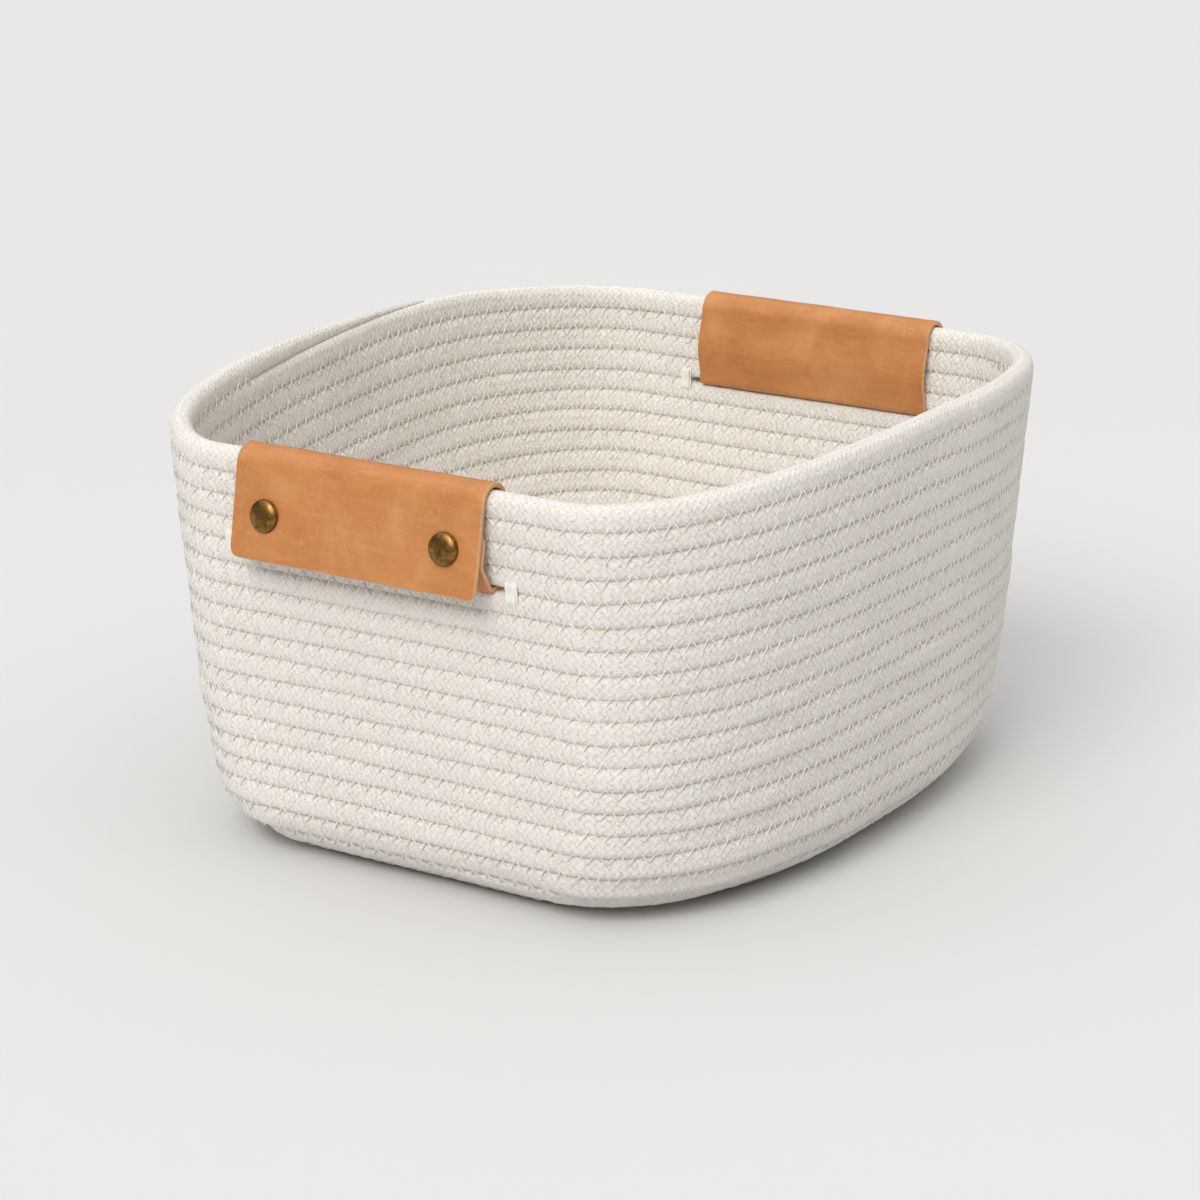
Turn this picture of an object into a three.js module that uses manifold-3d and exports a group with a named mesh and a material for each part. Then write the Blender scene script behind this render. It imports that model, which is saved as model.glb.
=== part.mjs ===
// A coiled rope storage basket: a flat coiled base, a rounded heel, a leaning wall and a rim band of
// cotton rope, with a leather wrap on each short end that folds over the rim, comes back out through a
// slit in the wall and is closed by two rivets. Each wrap can slide a little along its slit.
//
// Millimetres. X runs the long way, through the two handles; Y runs across; Z is up. The origin is on
// the floor, under the middle of the basket.

import * as THREE from "three";
import { mergeVertices } from "three/addons/utils/BufferGeometryUtils.js";
import Module from "manifold-3d";

const wasm = await Module();
wasm.setup();

// ---- Driving dimensions ----

const RIM_LENGTH = 308; // over the rope at the rim, along X
const RIM_WIDTH = 279; // over the rope at the rim, along Y
const HEIGHT = 161.5; // floor to the top of the rim rope, at the short ends
const RIM_ARCH = 7; // rise of the rim, in the middle of the long sides
const ROPE = 8.75; // thickness of the rope
const GROOVE = 1.2; // depth of the valley between two courses
const WALL_LEAN = THREE.MathUtils.degToRad(5); // outward lean of the wall
const HEEL_RADIUS = 24; // of the rope's centre line, where the base turns up
const SIDE_POWER = 2.6; // flatness of the long sides
const CORNER_POWER = 1.9; // roundness of the corners, next to the straight ends
const CORNER_GROWTH = 4; // how fast the corners take over from the straight ends, further down

const HANDLE_COURSES = 4; // courses of rope that a handle wraps
const HANDLE_WIDTH = 107; // of the leather, along the rim
const HANDLE_SHIFT = -7; // of each handle along its rim, from the middle
const HANDLE_TRAVEL = 5; // each way, along the slit
const LEATHER = 1.9; // thickness of the leather
const FLAP_OVERHANG = 0.5; // of the outer flap, below the slit
const FLAP_TILT = THREE.MathUtils.degToRad(15); // of the flap, outwards from the wall
const FLAP_CORNER = 4; // radius of the flap's lower corners
const PANEL_BOW = 3; // of the inner panel, half way down
const RIM_LOOSENESS = 1.2; // of the leather, above the rim rope
const FOLD_INSIDE = 0.4; // radius inside the two folds in the slit
const TAIL_ABOVE_RIVET = 7; // of the tucked-in tail

const RIVET_SPACING = 78; // between the two rivets of a handle
const RIVET_ABOVE_SLIT = 15.5;
const CAP_RADIUS = 6;
const CAP_HEIGHT = 3;
const CAP_RIM = 0.8; // height of the cap's straight edge
const SOCKET_DEPTH = 1.7; // of the blind hole in the cap
const POST_RADIUS = 1.6;
const POST_INSERT = 1.4; // how far the post reaches into the cap
const BACK_RADIUS = 4.5; // of the post's flat back
const BACK_THICKNESS = 1;

const TACK_LENGTH = 5; // of the thread bar that closes a slit's end
const TACK_REACH = 5.5; // of the bar, above and below the slit
const TACK_PAD = 1.2; // thickness of the bar on each face of the wall
const THREAD_WIDTH = 4.4; // of the seam that joins two runs of rope
const THREAD_PROUD = 0.15; // how far the seam stands over the rope

const FIT = 0.3; // clearance between pieces that touch
const SLACK = 0.5; // clearance of the leather, above and below it in the slit

const QUARTER_STEPS = 10; // facets in a quarter of the plan
const RIVET_STEPS = 16; // facets round a rivet

// ---- What follows from them ----

const ROPE_RADIUS = ROPE / 2;
const RIM_HALF_LENGTH = RIM_LENGTH / 2 - ROPE_RADIUS;
const RIM_HALF_WIDTH = RIM_WIDTH / 2 - ROPE_RADIUS;
const COLUMNS = 4 * QUARTER_STEPS + 2;

const TACK_START = HANDLE_WIDTH / 2 + HANDLE_TRAVEL + FIT;
const SLIT_HALF_LENGTH = TACK_START + TACK_LENGTH + FIT;
const SLIT_HALF_HEIGHT = LEATHER / 2 + SLACK;
const END_STRAIGHT = Math.abs(HANDLE_SHIFT) + SLIT_HALF_LENGTH + ROPE_RADIUS;

// The straight wall ends where the heel begins. The rope is then shared out in whole courses.
const WALL_RUN = (HEIGHT - ROPE - HEEL_RADIUS * (1 - Math.sin(WALL_LEAN))) / Math.cos(WALL_LEAN);
const HEEL_RUN = HEEL_RADIUS * (Math.PI / 2 - WALL_LEAN);
const COURSES = Math.round((WALL_RUN + HEEL_RUN) / ROPE) + 1;
const PITCH = (WALL_RUN + HEEL_RUN) / (COURSES - 1);
const HEEL_COURSE = Math.ceil(WALL_RUN / PITCH);
const SLIT_RUN = (HANDLE_COURSES - 0.5) * PITCH;

// Down to two courses below the slits, on both faces, the ends are straight.
const STRAIGHT_INSET = (SLIT_RUN + 2 * ROPE) * Math.sin(WALL_LEAN) + ROPE_RADIUS * Math.cos(WALL_LEAN);

// ---- Solids ----

// A closed mesh with shared corners, as a solid that can be cut and joined.
function solidOf(geometry) {
  geometry.deleteAttribute("normal");
  geometry.deleteAttribute("uv");
  const welded = mergeVertices(geometry, 1e-4);
  const corners = Array.from(welded.index.array);
  const kept = [];
  for (let i = 0; i < corners.length; i += 3) {
    const [a, b, c] = corners.slice(i, i + 3);
    if (a !== b && b !== c && c !== a) kept.push(a, b, c);
  }
  const vertProperties = new Float32Array(welded.getAttribute("position").array);
  return new wasm.Manifold(new wasm.Mesh({ numProp: 3, vertProperties, triVerts: new Uint32Array(kept) }));
}

function geometryOf(solid) {
  const { vertProperties, triVerts } = solid.getMesh();
  const geometry = new THREE.BufferGeometry();
  geometry.setAttribute("position", new THREE.BufferAttribute(new Float32Array(vertProperties), 3));
  geometry.setIndex(new THREE.BufferAttribute(new Uint32Array(triVerts), 1));
  geometry.computeVertexNormals();
  return geometry;
}

function boxSolid(low, high) {
  const box = new THREE.BoxGeometry(high[0] - low[0], high[1] - low[1], high[2] - low[2]);
  box.translate((low[0] + high[0]) / 2, (low[1] + high[1]) / 2, (low[2] + high[2]) / 2);
  return solidOf(box);
}

// An outline in X and Z, drawn out along Y to both sides of the middle.
function extrudeAlongY(outline, length) {
  const shape = new THREE.Shape(outline);
  const geometry = new THREE.ExtrudeGeometry(shape, { depth: length, bevelEnabled: false });
  geometry.translate(0, 0, -length / 2);
  geometry.rotateX(Math.PI / 2);
  return geometry;
}

// ---- The basket's shape ----

// The plan of the basket at a given inset from the rim's centre line: straight short ends, and long
// sides that bow out and arch up between them. The straight ends keep their length past the slits.
function planPoint(column, inset) {
  const halfLength = RIM_HALF_LENGTH - inset;
  const halfWidth = RIM_HALF_WIDTH - inset;
  const straightWidth = RIM_HALF_WIDTH - STRAIGHT_INSET;
  const straight = END_STRAIGHT * Math.min(1, halfWidth / straightWidth) ** CORNER_GROWTH;
  const half = 2 * QUARTER_STEPS + 1;
  const back = column >= half;
  const step = column % half;
  const mirrored = step > QUARTER_STEPS;
  const turn = (mirrored ? 2 * QUARTER_STEPS - step : step) / QUARTER_STEPS;
  const angle = (turn * Math.PI) / 2;
  const along = turn === 1 ? 0 : Math.cos(angle) ** (2 / SIDE_POWER);
  const across = Math.sin(angle) ** (2 / CORNER_POWER);
  const x = (mirrored !== back ? -1 : 1) * halfLength * along;
  const y = (back ? -1 : 1) * (straight + (halfWidth - straight) * across);
  return { x, y, arch: (1 - along ** 2) * RIM_ARCH };
}

// A point beside the rope's centre line, at a run down it from the rim: down the wall, round the heel
// and in across the base. A positive offset is towards the outside. X holds the inset, Y the height.
function sectionPoint(run, offset) {
  const turn = THREE.MathUtils.clamp(run - WALL_RUN, 0, HEEL_RUN) / HEEL_RADIUS;
  const angle = WALL_LEAN + turn;
  const across = Math.max(0, run - WALL_RUN - HEEL_RUN);
  const down = Math.min(run, WALL_RUN);
  const bend = Math.cos(WALL_LEAN) - Math.cos(angle);
  const drop = Math.sin(angle) - Math.sin(WALL_LEAN);
  const inset = down * Math.sin(WALL_LEAN) + HEEL_RADIUS * bend + across;
  const height = HEIGHT - ROPE_RADIUS - down * Math.cos(WALL_LEAN) - HEEL_RADIUS * drop;
  return new THREE.Vector2(inset - offset * Math.cos(angle), height - offset * Math.sin(angle));
}

// Carries a section round the plan.
function aroundThePlan(section) {
  const lathe = new THREE.LatheGeometry(section, COLUMNS);
  const position = lathe.getAttribute("position");
  for (let column = 0; column <= COLUMNS; column++) {
    for (let row = 0; row < section.length; row++) {
      const { x, y, arch } = planPoint(column % COLUMNS, section[row].x);
      const z = section[row].y * (1 + arch / HEIGHT);
      position.setXYZ(column * section.length + row, x, y, z);
    }
  }
  return lathe;
}

// One face of a run of courses: a crest for each, and a valley between neighbours.
function ropeFace(first, last, side) {
  const points = [sectionPoint((first - 0.5) * PITCH + FIT / 2, side * (ROPE_RADIUS - GROOVE))];
  for (let course = first; course <= last; course++) {
    points.push(sectionPoint(course * PITCH, side * ROPE_RADIUS));
    const nextRun = (course + 0.5) * PITCH - (course === last ? FIT / 2 : 0);
    points.push(sectionPoint(nextRun, side * (ROPE_RADIUS - GROOVE)));
  }
  return points;
}

function ropeRing(first, last) {
  const inner = ropeFace(first, last, -1);
  const outer = ropeFace(first, last, 1).reverse();
  return solidOf(aroundThePlan([...inner, ...outer, inner[0]]));
}

// The top courses. The rim rope's top is round.
function rimRing(last) {
  const inner = ropeFace(0, last, -1).slice(1);
  const outer = ropeFace(0, last, 1).slice(1).reverse();
  const top = [];
  for (let step = 1; step < 4; step++) {
    const angle = (step * Math.PI) / 4;
    top.push(sectionPoint(-ROPE_RADIUS * Math.sin(angle), ROPE_RADIUS * Math.cos(angle)));
  }
  return solidOf(aroundThePlan([...inner, ...outer, ...top, inner[0]]));
}

// The flat coiled base, inside the heel's last course: ribbed above, and flat where it stands.
function baseDisc() {
  const edgeRun = (COURSES - 0.5) * PITCH + FIT / 2;
  const reach = Math.min(RIM_HALF_LENGTH, RIM_HALF_WIDTH);
  const middleRun = WALL_RUN + HEEL_RUN + reach - sectionPoint(WALL_RUN + HEEL_RUN, 0).x;
  const turns = Math.round((middleRun - edgeRun) / PITCH);
  const step = (middleRun - edgeRun) / turns;
  const top = [];
  for (let turn = 0; turn < turns; turn++) {
    top.push(sectionPoint(edgeRun + turn * step, GROOVE - ROPE_RADIUS));
    top.push(sectionPoint(edgeRun + (turn + 0.5) * step, -ROPE_RADIUS));
  }
  top.push(sectionPoint(middleRun, GROOVE - ROPE_RADIUS));
  const below = [
    sectionPoint(middleRun, ROPE_RADIUS),
    sectionPoint(edgeRun + step / 2, ROPE_RADIUS),
    sectionPoint(edgeRun, ROPE_RADIUS - GROOVE),
  ];
  return solidOf(aroundThePlan([...below, ...top]));
}

// The thread that joins two runs of rope, lying in the valley between them.
function seamRing(valley, side) {
  const run = (valley - 0.5) * PITCH;
  const half = THREAD_WIDTH / 2;
  const slope = GROOVE / (PITCH / 2);
  const floor = ROPE_RADIUS - GROOVE + FIT + FIT * slope;
  const section = [
    sectionPoint(run, side * floor),
    sectionPoint(run + side * half, side * (floor + slope * half)),
    sectionPoint(run + side * half, side * (ROPE_RADIUS + THREAD_PROUD)),
    sectionPoint(run - side * half, side * (ROPE_RADIUS + THREAD_PROUD)),
    sectionPoint(run - side * half, side * (floor + slope * half)),
    sectionPoint(run, side * floor),
  ];
  return solidOf(aroundThePlan(section));
}

// ---- One end of the wall ----
//
// Each handle is drawn in the wall's own frame: X out of the wall, Y along the rim, Z up the wall, with
// the origin at the centre of the rim rope.

const SLIT_Z = -SLIT_RUN;
const RIVET_Z = SLIT_Z + RIVET_ABOVE_SLIT;
const PANEL_X = -(ROPE_RADIUS + FIT + LEATHER / 2); // of the inner panel, just above the slit
const FOOT_X = ROPE_RADIUS + FIT + LEATHER / 2; // of the tail, just above the slit
const SLIT_FOLD = LEATHER / 2 + FOLD_INSIDE;
const RIM_FOLD = ROPE_RADIUS + RIM_LOOSENESS + LEATHER / 2;
const RIVET_DOWN = (RIM_FOLD * Math.sin(FLAP_TILT) - RIVET_Z) / Math.cos(FLAP_TILT);
const LIP_DOWN = RIVET_DOWN + (RIVET_ABOVE_SLIT + FLAP_OVERHANG) / Math.cos(FLAP_TILT);
const TAIL_OUT = -(LEATHER + FIT); // of the tail's middle at the rivets, from the flap's

// A point beside the flap: down it from where it leaves the rim's fold, and out from its middle.
function besideFlap(down, out) {
  const reach = RIM_FOLD + out;
  const x = reach * Math.cos(FLAP_TILT) + down * Math.sin(FLAP_TILT);
  return new THREE.Vector2(x, reach * Math.sin(FLAP_TILT) - down * Math.cos(FLAP_TILT));
}

// Places a piece drawn at the origin beside the flap: X out of it, Z up it.
function onFlap(geometry, down, out) {
  const place = besideFlap(down, out);
  geometry.rotateY(-FLAP_TILT);
  geometry.translate(place.x, 0, place.y);
  return geometry;
}

// Points along an arc, from one angle to another. An angle of 0 is outwards, and a quarter turn is up.
function arc(centreX, centreZ, radius, from, to) {
  const steps = Math.ceil(Math.abs(to - from) / (Math.PI / 16));
  const points = [];
  for (let step = 0; step <= steps; step++) {
    const angle = from + ((to - from) * step) / steps;
    points.push(new THREE.Vector2(centreX + radius * Math.cos(angle), centreZ + radius * Math.sin(angle)));
  }
  return points;
}

// The middle line of the leather strap. The tail lies behind the flap at the rivets and slants in to the
// slit. The strap goes through it, up the inside in a bow, round the rim, and down to the flap's lip.
function strapLine() {
  const quarter = Math.PI / 2;
  const line = [
    besideFlap(RIVET_DOWN - TAIL_ABOVE_RIVET, TAIL_OUT),
    besideFlap(RIVET_DOWN + BACK_RADIUS + 2 * FIT, TAIL_OUT),
  ];
  const footZ = SLIT_Z + SLIT_FOLD;
  line.push(...arc(FOOT_X - SLIT_FOLD, footZ, SLIT_FOLD, 0, -quarter));
  line.push(...arc(PANEL_X + SLIT_FOLD, footZ, SLIT_FOLD, -quarter, -2 * quarter));

  const bows = [
    [PANEL_X, PANEL_X - PANEL_BOW, footZ, SLIT_Z / 2],
    [PANEL_X - PANEL_BOW, -RIM_FOLD, SLIT_Z / 2, 0],
  ];
  for (const [fromX, toX, fromZ, toZ] of bows) {
    for (let step = 1; step < 6; step++) {
      const part = step / 6;
      const ease = (1 - Math.cos(part * Math.PI)) / 2;
      line.push(new THREE.Vector2(fromX + (toX - fromX) * ease, fromZ + (toZ - fromZ) * part));
    }
  }
  line.push(...arc(0, 0, RIM_FOLD, Math.PI, FLAP_TILT));
  line.push(besideFlap(LIP_DOWN, 0));
  return line;
}

// A band of even thickness along a line.
function bandAlong(line, thickness) {
  const left = [];
  const right = [];
  for (let i = 0; i < line.length; i++) {
    const before = line[Math.max(0, i - 1)];
    const after = line[Math.min(line.length - 1, i + 1)];
    const along = after.clone().sub(before).normalize();
    const aside = new THREE.Vector2(-along.y, along.x).multiplyScalar(thickness / 2);
    left.push(line[i].clone().add(aside));
    right.push(line[i].clone().sub(aside));
  }
  return [...left, ...right.reverse()];
}

// What is cut off to round one lower corner of the flap.
function cornerCutter(side) {
  const edge = HANDLE_WIDTH / 2;
  const shape = new THREE.Shape();
  shape.moveTo(side * (edge + LEATHER), -LEATHER);
  shape.lineTo(side * (edge + LEATHER), FLAP_CORNER);
  shape.lineTo(side * edge, FLAP_CORNER);
  const start = side > 0 ? 0 : Math.PI;
  shape.absarc(side * (edge - FLAP_CORNER), FLAP_CORNER, FLAP_CORNER, start, -Math.PI / 2, side > 0);
  shape.lineTo(side * (edge - FLAP_CORNER), -LEATHER);
  const depth = LEATHER + 2 * FIT;
  const geometry = new THREE.ExtrudeGeometry(shape, { depth, bevelEnabled: false, curveSegments: 6 });
  geometry.rotateY(Math.PI / 2);
  geometry.rotateX(Math.PI / 2);
  return solidOf(onFlap(geometry, LIP_DOWN, -depth / 2));
}

function rivetHole(y) {
  const radius = POST_RADIUS + FIT;
  const hole = new THREE.CylinderGeometry(radius, radius, 3 * LEATHER + FIT, RIVET_STEPS);
  hole.rotateZ(Math.PI / 2);
  hole.translate(0, y, 0);
  return solidOf(onFlap(hole, RIVET_DOWN, TAIL_OUT / 2));
}

function strap() {
  let leather = solidOf(extrudeAlongY(bandAlong(strapLine(), LEATHER), HANDLE_WIDTH));
  for (const side of [-1, 1]) {
    leather = leather.subtract(cornerCutter(side));
    leather = leather.subtract(rivetHole((side * RIVET_SPACING) / 2));
  }
  return leather;
}

// A turned piece with its axis out of the flap, its back at a distance out from the flap's middle.
function turnedOnFlap(profile, y, out) {
  const lathe = new THREE.LatheGeometry(profile, RIVET_STEPS);
  lathe.rotateZ(-Math.PI / 2);
  lathe.translate(0, y, 0);
  return solidOf(onFlap(lathe, RIVET_DOWN, out));
}

function rivetCap(y) {
  const profile = [new THREE.Vector2(0, SOCKET_DEPTH)];
  profile.push(new THREE.Vector2(POST_RADIUS + FIT, SOCKET_DEPTH));
  profile.push(new THREE.Vector2(POST_RADIUS + FIT, 0));
  for (let step = 0; step <= 4; step++) {
    const angle = (step * Math.PI) / 8;
    const height = CAP_RIM + (CAP_HEIGHT - CAP_RIM) * Math.sin(angle);
    if (step === 0) profile.push(new THREE.Vector2(CAP_RADIUS, 0));
    profile.push(new THREE.Vector2(step === 4 ? 0 : CAP_RADIUS * Math.cos(angle), height));
  }
  return turnedOnFlap(profile, y, LEATHER / 2 + FIT);
}

function rivetPost(y) {
  const start = TAIL_OUT - LEATHER / 2 - FIT - BACK_THICKNESS;
  const length = LEATHER / 2 + FIT + POST_INSERT - start;
  const profile = [
    new THREE.Vector2(0, 0),
    new THREE.Vector2(BACK_RADIUS, 0),
    new THREE.Vector2(BACK_RADIUS, BACK_THICKNESS),
    new THREE.Vector2(POST_RADIUS, BACK_THICKNESS),
    new THREE.Vector2(POST_RADIUS, length),
    new THREE.Vector2(0, length),
  ];
  return turnedOnFlap(profile, y, start);
}

// The thread bar that closes one end of a slit: a pad on each face, joined through the slit.
function barTack(y) {
  const face = ROPE_RADIUS + FIT;
  const web = SLIT_HALF_HEIGHT - FIT;
  const outline = [];
  for (const side of [1, -1]) {
    outline.push(new THREE.Vector2(side * face, -side * web));
    outline.push(new THREE.Vector2(side * face, -side * TACK_REACH));
    outline.push(new THREE.Vector2(side * (face + TACK_PAD), -side * TACK_REACH));
    outline.push(new THREE.Vector2(side * (face + TACK_PAD), side * TACK_REACH));
    outline.push(new THREE.Vector2(side * face, side * TACK_REACH));
    outline.push(new THREE.Vector2(side * face, side * web));
  }
  const bar = extrudeAlongY(outline, TACK_LENGTH);
  bar.translate(0, y, SLIT_Z);
  return solidOf(bar);
}

// Puts a solid drawn in the wall's frame onto the left (-X) or the right (+X) end.
function onEnd(solid, end) {
  const geometry = geometryOf(solid);
  geometry.rotateY(WALL_LEAN);
  geometry.translate(RIM_HALF_LENGTH, HANDLE_SHIFT, HEIGHT - ROPE_RADIUS);
  if (end === "left") geometry.rotateZ(Math.PI);
  return geometry;
}

// ---- The basket, put together ----

const basket = new THREE.Group();

function add(name, geometry, colour, roughness, metalness = 0) {
  const material = new THREE.MeshStandardMaterial({ color: colour, roughness, metalness });
  const mesh = new THREE.Mesh(geometry, material);
  mesh.name = name;
  basket.add(mesh);
}

const COTTON = 0xe9e3d9;
const THREAD = 0xf3efe7;
const TAN = 0xce8d55;
const ANTIQUE_BRASS = 0x795628;
const FAR = RIM_LENGTH + RIM_WIDTH + HEIGHT; // past everything

let rimBand = rimRing(HANDLE_COURSES - 1);
let wall = ropeRing(HANDLE_COURSES, HEEL_COURSE - 1);
for (const end of ["left", "right"]) {
  const slot = boxSolid(
    [-ROPE, -SLIT_HALF_LENGTH, SLIT_Z - SLIT_HALF_HEIGHT],
    [ROPE, SLIT_HALF_LENGTH, SLIT_Z + SLIT_HALF_HEIGHT],
  );
  const cutter = solidOf(onEnd(slot, end));
  rimBand = rimBand.subtract(cutter);
  wall = wall.subtract(cutter);
}

add("rope_base", geometryOf(baseDisc()), COTTON, 0.95);
add("rope_heel", geometryOf(ropeRing(HEEL_COURSE, COURSES - 1)), COTTON, 0.95);
add("rope_wall", geometryOf(wall), COTTON, 0.95);
add("rope_rim_band", geometryOf(rimBand), COTTON, 0.95);

add("seam_thread_base", geometryOf(seamRing(COURSES, -1)), THREAD, 0.8);
add("seam_thread_heel", geometryOf(seamRing(HEEL_COURSE, 1)), THREAD, 0.8);
const rimSeam = seamRing(HANDLE_COURSES, 1);
const seamStart = END_STRAIGHT;
const frontHalf = boxSolid([-FAR, -FAR, -FAR], [FAR, -seamStart, FAR]);
const backHalf = boxSolid([-FAR, seamStart, -FAR], [FAR, FAR, FAR]);
add("seam_thread_rim_front", geometryOf(rimSeam.intersect(frontHalf)), THREAD, 0.8);
add("seam_thread_rim_back", geometryOf(rimSeam.intersect(backHalf)), THREAD, 0.8);

for (const end of ["left", "right"]) {
  add(`${end}_handle_leather`, onEnd(strap(), end), TAN, 0.6);
  for (const place of ["front", "back"]) {
    const along = (place === "front" ? -1 : 1) * (end === "left" ? -1 : 1);
    const rivetY = (along * RIVET_SPACING) / 2;
    add(`${end}_rivet_cap_${place}`, onEnd(rivetCap(rivetY), end), ANTIQUE_BRASS, 0.35, 0.9);
    add(`${end}_rivet_post_${place}`, onEnd(rivetPost(rivetY), end), ANTIQUE_BRASS, 0.4, 0.9);
    const tackY = along * (TACK_START + TACK_LENGTH / 2);
    add(`${end}_bar_tack_${place}`, onEnd(barTack(tackY), end), THREAD, 0.8);
  }
}

export default basket;
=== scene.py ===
"""A coiled cotton-rope storage basket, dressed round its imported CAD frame.

One rope is coiled into the base and wound up into the wall. A zigzag thread joins each turn to the next.
A leather wrap sits over the rim at each short end and is closed by two rivets.

Shapes are drawn in millimetres and scaled to Blender's metres when a mesh is made. X runs through the
two handles, Y runs across and Z is up. The basket stands on the floor, at the origin.
"""

import math

import bpy
import numpy as np
from mathutils import Matrix, Vector


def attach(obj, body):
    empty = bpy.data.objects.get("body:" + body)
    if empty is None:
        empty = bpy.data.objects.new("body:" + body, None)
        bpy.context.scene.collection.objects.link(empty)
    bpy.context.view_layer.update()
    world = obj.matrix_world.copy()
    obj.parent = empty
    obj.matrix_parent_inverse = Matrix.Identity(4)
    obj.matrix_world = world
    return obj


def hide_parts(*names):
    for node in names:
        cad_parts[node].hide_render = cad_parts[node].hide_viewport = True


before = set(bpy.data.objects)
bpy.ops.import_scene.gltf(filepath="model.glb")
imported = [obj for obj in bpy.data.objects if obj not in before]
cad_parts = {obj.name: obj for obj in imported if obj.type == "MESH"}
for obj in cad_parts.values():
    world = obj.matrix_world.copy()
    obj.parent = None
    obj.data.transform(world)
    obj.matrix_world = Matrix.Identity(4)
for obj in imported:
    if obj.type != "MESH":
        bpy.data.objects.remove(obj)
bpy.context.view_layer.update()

# ---- The basket's dimensions, as its CAD model has them ----

MM = 0.001
RIM_LENGTH = 308
RIM_WIDTH = 279
HEIGHT = 161.5
RIM_ARCH = 7
ROPE_RADIUS = 8.75 / 2
WALL_LEAN = math.radians(5)
HEEL_RADIUS = 24
SIDE_POWER = 2.6
CORNER_POWER = 1.9
CORNER_GROWTH = 4
RIM_HALF_LENGTH = RIM_LENGTH / 2 - ROPE_RADIUS
RIM_HALF_WIDTH = RIM_WIDTH / 2 - ROPE_RADIUS

WALL_RUN = (HEIGHT - 2 * ROPE_RADIUS - HEEL_RADIUS * (1 - math.sin(WALL_LEAN))) / math.cos(WALL_LEAN)
HEEL_RUN = HEEL_RADIUS * (math.pi / 2 - WALL_LEAN)
COURSES = 20  # from the rim to the flat of the base
PITCH = (WALL_RUN + HEEL_RUN) / (COURSES - 1)
HEEL_COURSE = 15
BASE_TURNS = 11

HANDLE_COURSES = 4
WALL_MIDDLE = (HANDLE_COURSES + HEEL_COURSE) / 2  # where the rope of the wall is parted in two pieces
HANDLE_WIDTH = 107
HANDLE_SHIFT = -7
LEATHER = 1.9
EDGE_ROUND = 0.55  # radius of the leather's worn edges
FIT = 0.3
SLIT_HALF_LENGTH = 64.1
SLIT_HALF_HEIGHT = 1.45
BAR_TACK = 5
SLIT_RUN = (HANDLE_COURSES - 0.5) * PITCH
SLIT_Z = -SLIT_RUN
END_STRAIGHT = abs(HANDLE_SHIFT) + SLIT_HALF_LENGTH + ROPE_RADIUS
STRAIGHT_INSET = (SLIT_RUN + 4 * ROPE_RADIUS) * math.sin(WALL_LEAN) + ROPE_RADIUS * math.cos(WALL_LEAN)

FLAP_TILT = math.radians(15)
FLAP_CORNER = 4
FLAP_OVERHANG = 0.5
PANEL_BOW = 3
PANEL_X = -(ROPE_RADIUS + FIT + LEATHER / 2)
FOOT_X = ROPE_RADIUS + FIT + LEATHER / 2
SLIT_BEND = 0.4  # inner radius of the strap's bends in the slit
SLIT_FOLD = LEATHER / 2 + SLIT_BEND
RIM_LOOSENESS = 1.2
RIM_FOLD = ROPE_RADIUS + RIM_LOOSENESS + LEATHER / 2
TAIL_OUT = -(LEATHER + FIT)

RIVET_ABOVE_SLIT = 15.5
RIVET_SPACING = 78
RIVET_Z = SLIT_Z + RIVET_ABOVE_SLIT
RIVET_DOWN = (RIM_FOLD * math.sin(FLAP_TILT) - RIVET_Z) / math.cos(FLAP_TILT)
LIP_DOWN = RIVET_DOWN + (RIVET_ABOVE_SLIT + FLAP_OVERHANG) / math.cos(FLAP_TILT)
TAIL_ABOVE_RIVET = 7
TAIL_BELOW_RIVET = 5.1  # where the tail bends into the slit
TAIL_TOP = RIVET_DOWN - TAIL_ABOVE_RIVET
TAIL_BOTTOM = RIVET_DOWN + TAIL_BELOW_RIVET

# ---- How the rope is wound and sewn ----

STEP_START = 0.15  # where each turn starts to step down to the next, round the plan
STEP_SHARE = 0.2  # of a turn, in which it steps
ROPE_TIP = 0.04  # where the rope starts, in turns
FIRST_STITCH = 0.16
LAST_STITCH = COURSES + BASE_TURNS - 1.05
STITCH = 6.7  # length of one zigzag of the thread
NEEDLE_REACH = 2.5  # of the needle holes, from the groove
THREAD_RADIUS = 0.26
BAR_THREAD_RADIUS = 0.3
HOLE_RADIUS = 0.6
ROPE_POWER = 4.1  # squareness of the rope's section
ROPE_SIDES = 20
ROPE_GIRTH = 27.6
PATH_STEPS = 900  # in each turn, to measure the rope's length by
ROPE_SPACING = 1.5  # between two rings of the rope's mesh
STRAND = 2.8  # spacing of the braid's strands, along the rope
FLOOR_GAP = 0.02  # least height of anything over the floor
HIDDEN = 99.0  # a distance from the seam where no stitch shows


def smooth_step(x):
    x = np.clip(x, 0, 1)
    return x * x * (3 - 2 * x)


def waves(along, around, lengths, size, seed):
    """Smooth pseudo-random waves along a rope, of the given lengths, that also turn round it."""
    rng = np.random.default_rng(seed)
    total = np.zeros(np.broadcast(along, around).shape)
    for length in lengths:
        turns = rng.integers(0, 3)
        phase = rng.uniform(0, 2 * math.pi)
        total = total + np.sin(2 * math.pi * along / length + turns * around + phase)
    return total * size / math.sqrt(len(lengths))


# ---- The basket's shape ----


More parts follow.
